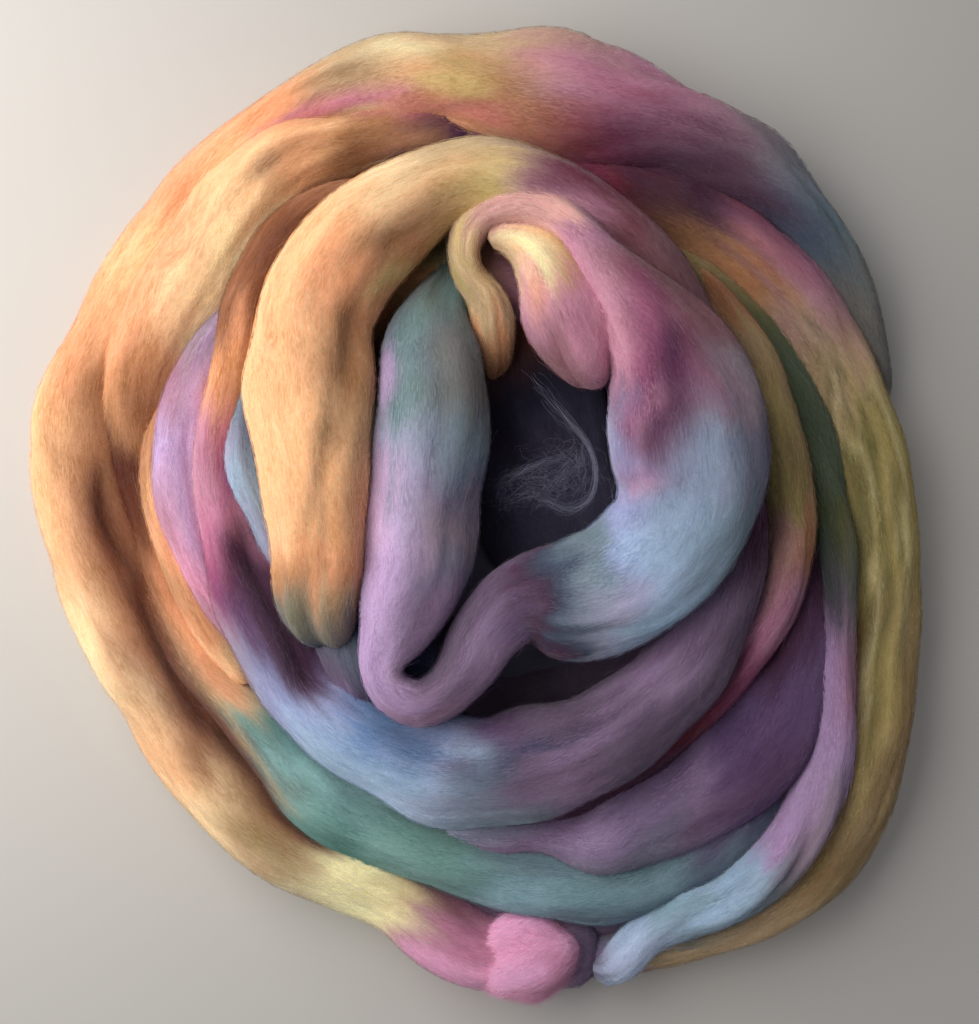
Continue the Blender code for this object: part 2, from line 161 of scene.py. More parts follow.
def wool_surface(seed, rows, grain, twist, puff, creases, mingle, stains_and_painted_shade):
    """Places, colours and grain over one stretch of roving, as arrays by section and point round it. The
    colours are its dyes and stains, with painted shade in the creases.
    """
    sides, gap = grain
    numbers = [(*row[:5], *dye_and_painted_shade(row[5].split()[0]), *dye_and_painted_shade(row[5].split()[-1])) for row in rows]
    stops, run = smooth_run(numbers, gap)
    middle = run[:, :3]
    ahead = np.gradient(middle, axis=0)
    ahead /= np.linalg.norm(ahead, axis=1)[:, None]
    left = np.column_stack((-ahead[:, 1], ahead[:, 0], np.zeros(len(run))))
    left /= np.linalg.norm(left, axis=1)[:, None]
    over = np.cross(ahead, left)
    reached = stops[:, None]
    angles = np.linspace(0, 2 * math.pi, sides + 1)[None, :]
    turned = angles + np.radians(twist) * reached / 100
    folds = np.abs(ripples(seed + 1, reached, turned, FOLDS))
    size = SKIN + puff * (
        ripples(seed, reached, turned, LUMPS)
        + folds
        - folds.mean()
        + ripples(seed + 2, reached, turned, STRANDS)
    )
    # Each crease is a groove along the stretch, or a swelling where its depth is below nought.
    shade = np.zeros(size.shape)
    for first, last, from_bearing, to_bearing, spread, depth in creases:
        shade += depth * patch(reached, angles, first, last, from_bearing, to_bearing, spread)
    size = size - shade
    # Both ends round off to a point.
    blunt = np.minimum(run[:, 3], run[:, 4]) * BLUNT
    to_end = np.minimum(stops, stops[-1] - stops)
    ease = np.clip(to_end / blunt, 0, 1)
    size = size * np.sqrt(1 - (1 - ease) ** 2)[:, None]
    half_wide = run[:, 3, None, None] / 2 * (size * np.cos(angles))[:, :, None]
    half_thick = run[:, 4, None, None] / 2 * (size * np.sin(angles))[:, :, None]
    places = middle[:, None, :] - MIDDLE + half_wide * left[:, None, :] + half_thick * over[:, None, :]
    places[:, :, 2] = np.maximum(places[:, :, 2], LOWEST_POINT)
    # The dyes run into each other along the fibres, so each fibre changes colour a little sooner or later.
    streak = ripples(seed + 3, reached, turned, STREAKS)
    spot = np.clip(reached + DYE_RUN * streak, 0, stops[-1])
    tints = [np.interp(spot, stops, run[:, column]) for column in range(5, 11)]
    to_left = 1 / (1 + np.exp(-(np.cos(angles) + mingle * streak) / DYE_BORDER))
    colours = [tints[c] * to_left + tints[c + 3] * (1 - to_left) for c in range(3)]
    # Stains are patches of another dye; the dark ones laid along creases and valleys are painted shade.
    for name, first, last, from_bearing, to_bearing, spread, share in stains_and_painted_shade:
        edge = angles + np.radians(STAIN_WAVER) * streak
        along = reached + STAIN_RUN * streak
        strip = share * patch(along, edge, first, last, from_bearing, to_bearing, spread)
        colours = [old * (1 - strip) + new * strip for old, new in zip(colours, dye_and_painted_shade(name))]
    # Streaks are a little lighter, and each crease is painted darker for its depth: painted shade in the
    # grooves.
    tone_and_painted_shade = 1 + STREAK_LIGHT * streak - CREASE_PAINTED_SHADE * np.maximum(shade, 0)
    colours = np.clip(np.stack(colours, axis=2) * tone_and_painted_shade[:, :, None], DARKEST, 1.0)
    radius = (run[:, 3] + run[:, 4])[:, None] / 4
    onward = reached + 0 * turned + GRAIN_APART * seed
    fibre = np.stack((radius * np.cos(turned), radius * np.sin(turned), onward), axis=2)
    return places * MM, colours, fibre


def points_of(mesh):
    """The places of a mesh's points, as an array."""
    flat = np.empty(len(mesh.vertices) * 3)
    mesh.vertices.foreach_get("co", flat)
    return flat.reshape(-1, 3)


def keep_colours(mesh, colours):
    """Keeps each point's colour, dye and painted shade alike, on the mesh."""
    dyes = mesh.attributes.new("dye_and_painted_shade", "FLOAT_COLOR", "POINT")
    dyes.data.foreach_set("color", np.column_stack((colours, np.ones(len(colours)))).ravel())


def wool_mesh(name, places, colours, fibre):
    """A closed skin over the sections, with its colours, dyes and painted shade, and its grain kept on its
    points.
    """
    shape = places.shape[:2]
    sheet = bmesh.new()
    bmesh.ops.create_grid(sheet, x_segments=shape[0] - 1, y_segments=shape[1] - 1, size=0.5)
    mesh = bpy.data.meshes.new(name)
    sheet.to_mesh(mesh)
    sheet.free()
    flat = points_of(mesh)
    section = np.rint((flat[:, 0] + 0.5) * (shape[0] - 1)).astype(int)
    point = np.rint((flat[:, 1] + 0.5) * (shape[1] - 1)).astype(int)
    wrapped = point % (shape[1] - 1)
    mesh.vertices.foreach_set("co", places[section, wrapped].ravel())
    keep_colours(mesh, colours[section, wrapped])
    grains = mesh.attributes.new("grain", "FLOAT_VECTOR", "POINT")
    grains.data.foreach_set("vector", fibre[section, wrapped].ravel())
    skin = bmesh.new()
    skin.from_mesh(mesh)
    bmesh.ops.remove_doubles(skin, verts=skin.verts, dist=1e-7)
    bmesh.ops.recalc_face_normals(skin, faces=skin.faces)
    skin.to_mesh(mesh)
    skin.free()
    mesh.shade_smooth()
    return mesh


def attribute(tree, name):
    """The node outputs of what a mesh keeps on its points under this name."""
    node = tree.nodes.new("ShaderNodeAttribute")
    node.attribute_name = name
    return node.outputs


def noise(tree, vector, spots, detail, roughness=0.6):
    """The outputs of a noise with so many spots in a millimetre of grain, across twice and along."""
    stretch = tree.nodes.new("ShaderNodeMapping")
    stretch.inputs["Scale"].default_value = spots
    tree.links.new(vector, stretch.inputs["Vector"])
    node = tree.nodes.new("ShaderNodeTexNoise")
    node.inputs["Scale"].default_value = 1.0
    node.inputs["Detail"].default_value = detail
    node.inputs["Roughness"].default_value = roughness
    tree.links.new(stretch.outputs["Vector"], node.inputs["Vector"])
    return node.outputs


def combed_fibre():
    """Shader group: the fine fibres of combed wool, as a colour and a height."""
    group = bpy.data.node_groups.new("combed_fibre", "ShaderNodeTree")
    for socket, side, kind in (
        ("Dye_and_painted_shade", "INPUT", "Color"), ("Grain", "INPUT", "Vector"), ("Contrast", "INPUT", "Float"),
        ("Colour", "OUTPUT", "Color"), ("Height", "OUTPUT", "Float"),
    ):
        group.interface.new_socket(socket, in_out=side, socket_type=f"NodeSocket{kind}")
    nodes, links = group.nodes, group.links
    VECTOR = "ShaderNodeVectorMath"
    source = nodes.new("NodeGroupInput")
    result = nodes.new("NodeGroupOutput")

    def maths(operation, first, second, kind="ShaderNodeMath"):
        node = nodes.new(kind)
        node.operation = operation
        for socket, value in zip(node.inputs, (first, second)):
            if isinstance(value, (float, tuple)):
                socket.default_value = value
            else:
                links.new(value, socket)
        return node.outputs[0]

    def mixed(shares):
        total = maths("MULTIPLY", *shares[0])
        for part in shares[1:]:
            total = maths("ADD", total, maths("MULTIPLY", *part))
        return total

    # The fibres wander: slow swirls shift the finer spots by a few millimetres.
    swirl = noise(group, source.outputs["Grain"], (0.10, 0.10, 0.07), 1.0)["Color"]
    centred = maths("SUBTRACT", swirl, (0.5, 0.5, 0.5), VECTOR)
    shift = maths("MULTIPLY", centred, (9.0, 9.0, 16.0), VECTOR)
    grain = maths("ADD", source.outputs["Grain"], shift, VECTOR)
    tufts = noise(group, grain, (0.20, 0.20, 0.085), 2.0)["Fac"]
    strokes = noise(group, grain, (1.2, 1.2, 0.26), 1.0)["Fac"]
    specks = noise(group, grain, (3.4, 3.4, 1.3), 1.0)["Fac"]
    links.new(mixed(((tufts, 1.0), (strokes, 0.12), (specks, 0.05))), result.inputs["Height"])
    tone = mixed(((tufts, 0.5), (strokes, 0.35), (specks, 0.35)))
    shade = maths("MULTIPLY", maths("SUBTRACT", tone, 0.6), source.outputs["Contrast"])
    tint = nodes.new("ShaderNodeHueSaturation")
    links.new(source.outputs["Dye_and_painted_shade"], tint.inputs["Color"])
    links.new(maths("ADD", shade, 1.0), tint.inputs["Value"])
    deeper = maths("SUBTRACT", 1.0, maths("MULTIPLY", shade, 0.6))
    links.new(deeper, tint.inputs["Saturation"])
    links.new(tint.outputs["Color"], result.inputs["Colour"])
    return group


COMBED = combed_fibre()


def coloured_material(name, roughness, specular):
    """A material in the colour that a mesh keeps on its points, dyes and painted shade alike, with its node
    tree and its shader's inputs.
    """
    material = bpy.data.materials.new(name)
    material.use_nodes = True
    tree = material.node_tree
    inputs = tree.nodes["Principled BSDF"].inputs
    inputs["Roughness"].default_value = roughness
    inputs["Specular IOR Level"].default_value = specular
    tree.links.new(attribute(tree, "dye_and_painted_shade")["Color"], inputs["Base Color"])
    return material, tree, inputs


BUMP_DEPTH = 0.0012  # metres


def wool_material():
    """Dyed combed wool: matt and soft, with a faint lustre along the fibres."""
    material, tree, inputs = coloured_material("combed_wool", 0.85, 0.15)
    inputs["Diffuse Roughness"].default_value = 0.8
    inputs["Sheen Weight"].default_value = 0.15
    inputs["Sheen Roughness"].default_value = 0.5
    fibres = tree.nodes.new("ShaderNodeGroup")
    fibres.node_tree = COMBED
    fibres.inputs["Contrast"].default_value = 1.0
    tree.links.new(attribute(tree, "dye_and_painted_shade")["Color"], fibres.inputs["Dye_and_painted_shade"])
    tree.links.new(attribute(tree, "grain")["Vector"], fibres.inputs["Grain"])
    tree.links.new(fibres.outputs["Colour"], inputs["Base Color"])
    bump = tree.nodes.new("ShaderNodeBump")
    bump.inputs["Strength"].default_value = 0.5
    bump.inputs["Distance"].default_value = BUMP_DEPTH
    tree.links.new(fibres.outputs["Height"], bump.inputs["Height"])
    tree.links.new(bump.outputs["Normal"], inputs["Normal"])
    return material


NAP_HEIGHT = 0.55  # millimetres above the skin
NAP_LOWEST = 0.3  # millimetres above the table
NAP_STROKES = (3.2, 3.2, 0.42)  # how many strokes in a millimetre, across twice and along
NAP_STANDS = (0.48, 0.66)  # the noise below which nothing stands, and above which it is thick


def nap_material():
    """The fibres that stand up from the wool: the same colours, painted shade included, in fine broken
    strokes, and nothing between.
    """
    material, tree, inputs = coloured_material("standing_fibre", 0.9, 0.1)
    strokes = noise(tree, attribute(tree, "grain")["Vector"], NAP_STROKES, 1.0, 0.5)
    standing = tree.nodes.new("ShaderNodeMapRange")
    standing.inputs["From Min"].default_value, standing.inputs["From Max"].default_value = NAP_STANDS
    tree.links.new(strokes["Fac"], standing.inputs["Value"])
    tree.links.new(standing.outputs["Result"], inputs["Alpha"])
    return material


WOOL = wool_material()
NAP = nap_material()

# Every stretch that shows, for the loose fibres on it.
COMBED_OUT = []


def nap(name, places, colours, fibre):
    """A thin broken layer of standing fibre over a stretch, drawn on every second section and point."""
    sections = np.unique(np.append(np.arange(0, len(places), 2), len(places) - 1))
    middle = places[:, :-1].mean(axis=1)[:, None, :]
    away = places - middle
    away /= np.maximum(np.linalg.norm(away, axis=2), 1e-6)[:, :, None]
    lifted = places + away * NAP_HEIGHT * MM
    lifted[:, :, 2] = np.maximum(lifted[:, :, 2], NAP_LOWEST * MM)
    pick = np.ix_(sections, np.arange(0, places.shape[1], 2))
    piece = placed(name, wool_mesh(name, lifted[pick], colours[pick], fibre[pick]))
    piece.data.materials.append(NAP)
    piece.visible_shadow = False
    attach(piece, "root")


def roving(name, seed, rows, grain=FINE, twist=0.0, puff=1.0, creases=(), mingle=0.3, stains_and_painted_shade=()):
    """One stretch of roving as a piece of the nest.

    A crease's row: first and last millimetre along it, the bearings there in degrees (0 on the left side,
    90 on top, 180 on the right), its spread in degrees, and its depth as a share of the section's radius.
    A stain's row: its dye, the same five numbers, and how strongly it covers. The dark stains along creases
    and valleys are painted shade."""
    places, colours, fibre = wool_surface(seed, rows, grain, twist, puff, creases, mingle, stains_and_painted_shade)
    piece = placed(name, wool_mesh(name, places, colours, fibre))
    piece.data.materials.append(WOOL)
    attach(piece, "root")
    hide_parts("roving")
    if grain is FINE:
        COMBED_OUT.append((places, colours))
        nap(f"{name}_nap", places, colours, fibre)


# Bearing from the middle in degrees, and how far out the last of the lowest turns runs there.
LOWEST_OUTLINE = (
    (0, 84), (30, 86), (60, 92), (90, 90), (120, 90), (150, 88), (180, 84), (210, 76), (240, 80), (270, 92),
    (285, 100), (300, 101), (330, 97), (360, 84),
)
ROWS_A_TURN = 18


def spiral(turns, widening, start, end, height, wide, thick, dyes):
    """Rows of a spiral that starts and ends at shares of the outline, through the dyes in turn."""
    rows = []
    count = round(turns * ROWS_A_TURN)
    for index in range(count + 1):
        bearing = 360 / ROWS_A_TURN * index
        widened = start + (end - start) * min(index / ROWS_A_TURN / widening, 1.0)
        out = np.interp(bearing % 360, *zip(*LOWEST_OUTLINE)) * widened
        x = MIDDLE[0] + out * math.cos(math.radians(bearing))
        y = MIDDLE[1] + out * math.sin(math.radians(bearing))
        rows.append((x, y, height, wide, thick, dyes[index * len(dyes) // (count + 1)]))
    return rows


roving("bottom_turns", 11, spiral(
    3.7, 2.8, 0.0, 1.0, 8.0, 40.0, 16.0, ("dove", "wisp", "wisp", "dusk", "dusk", "dusk", "plum")
), HIDDEN, puff=0.6)
roving("carrying_turns", 12, spiral(
    1.3, 1.3, 0.66, 0.80, 18.0, 24.0, 16.0, ("wisp", "dusk", "plum", "dusk")
), HIDDEN, puff=0.6)

# --------------------
# The outer ring. One turn runs anticlockwise from under the right band, across the far side, down the left
# and round to the near side, where it balls up in a pink tuft. It is laid first and lies on the table.
#
# Columns here and below: x, y and z of the section's middle, how wide and how thick it is, all in
# millimetres, then the dyes on its left side and on its right side as one follows it, or one for both. Some
# darker dyes on a side stand for painted shade.

# Its left (inner) side mostly takes darker dyes than its right: partly its own dye, partly painted shade on
# the side facing into the coil. Of its stains, the dark brown, clay, rust, olive and khaki ones, along its
# creases and in the valley on its inner side, are painted shade.
roving("outer_ring", 21, (
    (111.5, 30, 6, 4, 8, "ash"), (109, 42, 8, 7.5, 12, "ash"), (102, 59, 10, 11, 18, "ash"),
    (91, 77.5, 13, 15, 22, "steel slate"), (73, 92.5, 16, 21, 25, "plum dove"),
    (53, 101.5, 18, 28, 27, "plum blush"), (32, 107.8, 19, 34, 28, "wine blush"),
    (10, 113.8, 18, 32, 28, "clay sand"), (-12, 117, 16, 27, 27, "peach sand"),
    (-33, 115, 14, 23, 26, "sand"), (-51, 107, 13, 20, 25, "peach"), (-66, 96, 12, 21, 25, "apricot peach"),
    (-79, 81, 12, 21, 25, "apricot peach"), (-89, 67, 12, 21, 25, "apricot"),
    (-98, 53, 12, 21, 25, "apricot peach"), (-105, 38, 12, 22, 26, "tan peach"),
    (-108, 22, 12, 23, 26, "tan apricot"), (-107, 5, 12, 24, 26, "clay apricot"),
    (-102, -13, 12, 24, 26, "clay apricot"), (-96, -27, 12, 24, 26, "tan cream"),
    (-87, -43, 12, 25, 26, "clay cream"), (-77, -59, 12, 25, 26, "rust apricot"),
    (-66, -74, 12, 24, 26, "sand cream"), (-52, -87, 12, 22, 25, "khaki sand"),
    (-36, -96, 11, 20, 23, "butter"), (-22, -103, 10, 18, 21, "sand butter"),
    (-11, -109, 11, 20, 23, "mauve blush"), (0, -116, 11, 20, 23, "mauve pink"),
    (11, -118, 10, 18, 21, "mauve pink"), (22, -116.5, 9, 19, 17, "dusk heather"),
    (33, -116, 8, 17, 15, "dusk"),
), twist=40, puff=1.25, creases=(
    (174, 208, 86, 108, 9, 0.06), (280, 300, 86, 72, 10, 0.05), (376, 398, 94, 62, 13, 0.1),
    (398, 418, 90, 84, 18, 0.12), (430, 450, 94, 86, 20, 0.1), (360, 380, 100, 92, 30, -0.06),
    (412, 430, 84, 84, 24, -0.07), (446, 470, 92, 88, 30, -0.08), (318, 408, 46, 48, 17, 0.22),
    (396, 456, 34, 44, 18, 0.22),
), stains_and_painted_shade=(
    ("straw", 143, 182, 78, 64, 14, 0.8), ("butter", 158, 186, 118, 124, 16, 0.6),
    ("olive", 150, 172, 98, 102, 14, 0.6), ("salmon", 136, 186, 48, 40, 16, 0.6),
    ("rose", 164, 214, 64, 62, 12, 0.8), ("pink", 200, 232, 62, 86, 12, 0.45),
    ("rose", 110, 150, 104, 100, 18, 0.35), ("rust", 174, 208, 84, 108, 9, 0.4),
    ("rust", 288, 372, 62, 74, 16, 0.3), ("rust", 396, 416, 80, 84, 13, 0.45),
    ("khaki", 424, 450, 94, 84, 22, 0.6), ("butter", 446, 476, 96, 104, 44, 0.8),
    ("apricot", 216, 238, 90, 90, 30, 0.7), ("clay", 326, 452, 56, 54, 30, 0.7),
    ("cocoa", 318, 408, 44, 48, 19, 0.92), ("cocoa", 396, 456, 34, 44, 19, 0.92),
    ("blush", 474, 496, 80, 90, 40, 0.6), ("rose", 478, 512, 80, 80, 40, 0.6),
    ("candy", 478, 520, 128, 128, 40, 0.75), ("cocoa", 472, 500, 36, 40, 24, 0.5),
))
# The rose stains along its creases are painted shade.
roving("pink_tuft", 20, (
    (-1, -120.5, 9, 9, 12, "rose pink"), (4, -119.5, 11, 16, 18, "pink candy"),
    (9.5, -117.5, 13.5, 22, 24, "candy"), (15, -116.5, 13.5, 23, 25, "candy"),
    (20.5, -116, 12, 18, 20, "candy rose"), (25.5, -115.5, 9, 10, 13, "rose mauve"),
), twist=300, puff=1.6, creases=(
    (8, 22, 120, 140, 14, 0.14), (4, 20, 70, 40, 12, 0.12), (12, 24, 60, 100, 12, 0.1),
), stains_and_painted_shade=(
    ("rose", 8, 22, 120, 140, 14, 0.5), ("rose", 12, 24, 60, 100, 12, 0.5),
    ("lavender", 4, 16, 100, 80, 18, 0.4),
))
PINK_TUFT = COMBED_OUT[-1]

# --------------------
# The second ring, inside it: orange at the far side and on the left, then teal round the near side. It lies
# on the lowest turns and goes away under the purple turns on the right.

# The dark brown and rust on its right side from the far left round to the teal, and the dark brown stain
# there, are painted shade in the valley beside the outer ring. The rust and tan stains along its creases,
# and the pine stain along the middle turn's edge, are painted shade too.
roving("second_ring", 22, (
    (4, 109, 12, 14, 16, "plum"), (-14, 105, 13, 16, 18, "plum salmon"), (-34, 100, 16.5, 18, 22, "tan"),
    (-50, 94, 20.5, 20, 23, "apricot peach"), (-61.5, 83.5, 22, 22, 24, "cream apricot"),
    (-71.8, 69.3, 22, 23, 24, "cream peach"), (-80.8, 55.4, 21, 23, 24, "cream peach"),
    (-88.3, 42, 19, 22, 22, "tan peach"), (-92.6, 28, 15, 20, 19, "rust tan"),
    (-94, 13, 10, 18, 16, "cocoa"), (-91, -3, 9, 16, 15, "rust cocoa"),
    (-87, -17, 10, 14, 16, "peach rust"), (-81, -30, 11.5, 13, 18, "tan cocoa"),
    (-73, -42, 13, 13, 20, "cream cocoa"), (-65, -51, 14, 14, 20, "cream cocoa"),
    (-57, -60, 14, 16, 21, "teal cocoa"), (-47, -71, 14, 18, 22, "aqua teal"),
    (-34, -81, 14, 18, 22, "aqua pine"), (-19, -88, 14, 17, 22, "teal"), (-3, -93, 14, 18, 22, "teal sea"),
    (13, -96, 14, 18, 22, "mist"), (30.5, -97.5, 14, 21, 22, "sea mist"),
    (47.5, -94.5, 12, 22, 21, "slate mist"), (63, -86.5, 11, 22, 20, "purple slate"),
    (76, -74, 10, 20, 20, "plum steel"), (83, -57, 10, 16, 20, "plum"), (87, -40, 10, 15, 20, "plum"),
    (88, -22, 10, 12, 18, "plum"),
), twist=55, creases=(
    (57, 69, 82, 82, 24, 0.07), (44, 66, 108, 62, 9, 0.05),
), stains_and_painted_shade=(
    ("plum", 0, 24, 80, 70, 40, 0.6), ("tan", 14, 36, 60, 60, 22, 0.6), ("rust", 28, 54, 58, 54, 22, 0.6),
    ("apricot", 38, 60, 118, 108, 16, 0.9), ("cream", 52, 112, 88, 92, 26, 0.4),
    ("rust", 57, 69, 84, 80, 24, 0.5), ("tan", 44, 66, 108, 62, 9, 0.5),
    ("peach", 186, 234, 62, 62, 34, 0.8), ("cocoa", 180, 262, 134, 158, 24, 0.9),
    ("sand", 222, 262, 112, 124, 9, 0.45), ("pine", 255, 290, 60, 60, 17, 0.35),
    ("slate", 300, 346, 56, 56, 20, 0.6), ("steel", 318, 400, 140, 130, 26, 0.7),
))

# --------------------
# The right band: a broad flat stretch, combed out into many locks, from a thin tail near the tuft up the
# right side and away under the outer ring.

# The moss and wine lines along its creases are painted shade between the locks.
roving("right_band", 23, (
    (24, -117, 6, 11, 12, "wisp lilac"), (34, -118, 7, 13, 14, "wisp lilac"),
    (46, -116.5, 7, 11, 14, "sand"), (60, -112.5, 9, 12, 17, "ash sand"), (74, -106, 10, 15, 20, "sand"),
    (88, -95, 11, 18, 22, "tan khaki"), (98, -82, 11, 20, 23, "sand khaki"),
    (103, -66, 11, 21, 24, "straw khaki"), (106, -48, 11, 22, 24, "olive khaki"),
    (107, -30, 11, 23, 24, "olive khaki"), (108, -12, 11, 22, 24, "straw olive"),
    (106, 6, 12, 23, 24, "straw olive"), (102, 22, 12, 24, 24, "straw olive"), (96, 37, 12, 25, 24, "sand"),
    (87, 52, 12, 26, 24, "sand blush"), (76, 65, 13, 27, 23, "tan mauve"), (62, 76, 13, 27, 22, "tan plum"),
    (46, 84, 14, 26, 23, "cocoa plum"), (28, 91, 14, 24, 23, "wine plum"), (10, 98, 13, 20, 20, "plum"),
    (-6, 103, 12, 16, 16, "rust plum"),
), twist=12, mingle=0.6, creases=(
    (214, 262, 120, 124, 6, 0.03), (110, 200, 92, 92, 5, 0.03), (80, 150, 122, 126, 6, 0.05),
    (96, 236, 80, 86, 5, 0.05), (120, 230, 60, 66, 4, 0.04), (150, 250, 108, 112, 5, 0.05),
), stains_and_painted_shade=(
    ("magenta", 225, 268, 140, 134, 14, 0.6), ("rose", 228, 262, 114, 108, 12, 0.45),
    ("wine", 212, 240, 124, 124, 6, 0.4), ("moss", 146, 204, 48, 58, 10, 0.55),
    ("moss", 126, 190, 92, 92, 6, 0.35), ("butter", 106, 140, 62, 62, 6, 0.6),
    ("rust", 84, 122, 118, 132, 12, 0.25), ("khaki", 60, 130, 100, 110, 30, 0.6),
    ("olive", 110, 200, 92, 94, 18, 0.6), ("butter", 80, 128, 40, 40, 14, 0.9),
    ("moss", 96, 236, 80, 86, 4, 0.6), ("butter", 110, 226, 70, 75, 4, 0.4),
    ("moss", 120, 232, 60, 66, 4, 0.5), ("straw", 104, 214, 98, 101, 6, 0.6),
    ("moss", 120, 210, 108, 112, 4, 0.5), ("butter", 130, 210, 120, 122, 6, 0.4),
    ("straw", 58, 104, 84, 70, 9, 0.6),
))

# --------------------
# The rising turn: light blue near the tuft, then lavender and dark green up along the band's inner edge.
# It rests on the band and on the second ring.

roving("rising_turn", 24, (
    (30.5, -121, 9, 5, 7, "wisp"), (35.5, -120, 12, 8.5, 12, "pearl sky"), (40.5, -115, 14, 11, 15, "sky"),
    (46, -110, 16, 11.5, 16, "sky"), (54.4, -105.3, 18, 12, 17, "mist slate"),
    (63.5, -101.5, 20, 11.5, 18, "sky slate"), (73, -94.8, 21, 12, 18, "sky ash"),
    (80.4, -86.8, 22, 12, 19, "orchid dove"), (86.4, -76.5, 22, 12.5, 19, "orchid dove"),
    (90.8, -63, 22, 11.5, 18, "orchid"), (93, -50, 22, 10, 17, "orchid mauve"),
    (93.5, -37, 21, 9.5, 16, "orchid mauve"), (94, -24, 21, 9.5, 16, "dusk ash"),
    (93.5, -8, 19, 12, 16, "forest moss"), (91, 8, 18, 13.5, 16, "fern"), (86.6, 24, 18, 13, 16, "fern"),
    (79.6, 38, 18, 12.5, 16, "fern"), (72, 51, 17, 11.5, 16, "fern moss"),
    (60, 62, 16, 12.5, 16, "moss khaki"), (46, 70, 15, 12.5, 16, "rust moss"),
), twist=60, puff=1.6, stains_and_painted_shade=(
    ("lace", 0, 30, 100, 100, 80, 0.2), ("sky", 22, 60, 90, 90, 60, 0.6),
))

# --------------------
# The purple turn and the thin turn, which fan out side by side on the right. They start under the middle
# turn and lean on its side.

roving("purple_turn", 25, (
    (88, -8, 14, 10, 14, "plum"), (87, -22, 17, 13, 18, "plum"), (84, -38, 18, 20, 21, "purple plum"),
    (77, -53, 18, 27, 23, "purple"), (67, -66, 18, 30, 23, "purple"),
    (55, -75, 18, 28, 23, "heather lilac"), (42, -81, 19, 23, 22, "wisp lilac"),
    (31, -86, 20, 18, 20, "wisp lavender"), (18, -85, 18, 9, 14, "heather lilac"),
    (4, -86, 17, 8, 12, "heather pearl"), (-10, -84, 16, 7, 10, "mist pearl"),
), twist=15, creases=(
    (94, 114, 92, 84, 40, -0.1), (40, 100, 112, 108, 7, 0.04),
), stains_and_painted_shade=(
    ("lilac", 92, 114, 104, 84, 22, 0.6), ("plum", 44, 92, 58, 58, 24, 0.5),
))
roving("thin_turn", 26, (
    (56, 66, 17, 4, 8, "tan clay"), (60.3, 62, 20, 4, 10, "tan clay"), (64, 56.6, 22, 5.6, 12, "clay"),
    (67.7, 50.2, 24, 7, 14, "clay tan"), (71.6, 43.5, 26, 8.2, 16, "khaki sand"),
    (75, 36.2, 27, 8.4, 17, "khaki sand"), (76.6, 29, 27, 9, 18, "khaki straw"),
    (78.3, 21, 27, 9.6, 18, "khaki straw"), (79.8, 13, 27, 10.2, 18, "khaki straw"),
    (80.4, 4, 27, 10.8, 19, "khaki straw"), (81.2, -4, 26.5, 11.2, 19, "tan shell"),
    (80.3, -13.1, 26, 11.4, 19, "clay shell"), (77.3, -24, 25, 11.2, 18, "mauve pink"),
    (71.4, -34.8, 24, 10.2, 17, "magenta pink"), (64.1, -45.3, 23, 9.4, 16, "magenta rosewood"),
    (55.5, -54.7, 22, 8.4, 15, "wine"), (45.1, -63.7, 21, 7.6, 14, "plum wine"),
    (35, -70.5, 20, 7, 13, "plum wine"), (20, -76, 19, 6, 11, "plum purple"),
), twist=30)

# --------------------
# Two stretches on the left that show between the second ring and the middle turn: a lavender one, and the
# bright orange edge of the one below it. Both are held down by the middle turn.

# The pale lace stain on its left side is partly the wool's own pale lavender, partly painted highlight on
# the side facing the window.
roving("lavender_turn", 27, (
    (-60, 59, 15, 5, 8, "lilac"), (-64.4, 53.5, 18, 7, 12, "lilac lavender"),
    (-69.8, 44.5, 22, 10.5, 17, "lavender dove"), (-73.8, 35, 24, 12.5, 19, "lavender mauve"),
    (-76.8, 24.5, 25, 14, 20, "lavender mauve"), (-77.8, 13, 25, 14, 20, "lavender"),
    (-77, 3, 25, 13.5, 20, "lavender blush"), (-74.8, -6.5, 24, 12.5, 19, "lavender pink"),
    (-71.3, -16.5, 22, 11, 18, "rose pink"), (-66.5, -26, 20, 10, 16, "mauve blush"),
    (-60, -35, 18, 8, 13, "lilac mauve"),
), twist=20, stains_and_painted_shade=(
    ("lace", 22, 84, 44, 44, 32, 0.8),
))
roving("orange_edge", 28, (
    (-83, 31, 13, 6, 10, "orange tan"), (-84.6, 25, 15, 8, 14, "peach tan"),
    (-85.5, 14, 17, 8.5, 15, "tan clay"), (-84.5, 3, 18, 9, 16, "apricot tan"),
    (-81.6, -7.6, 18, 9, 16, "apricot peach"), (-77.4, -18, 18, 9.5, 16, "apricot tan"),
    (-71.3, -29, 18, 9.5, 15, "tan peach"), (-65, -38, 17, 9, 14, "sand apricot"),
    (-60.5, -45.5, 15, 7, 11, "apricot"),
), twist=30)
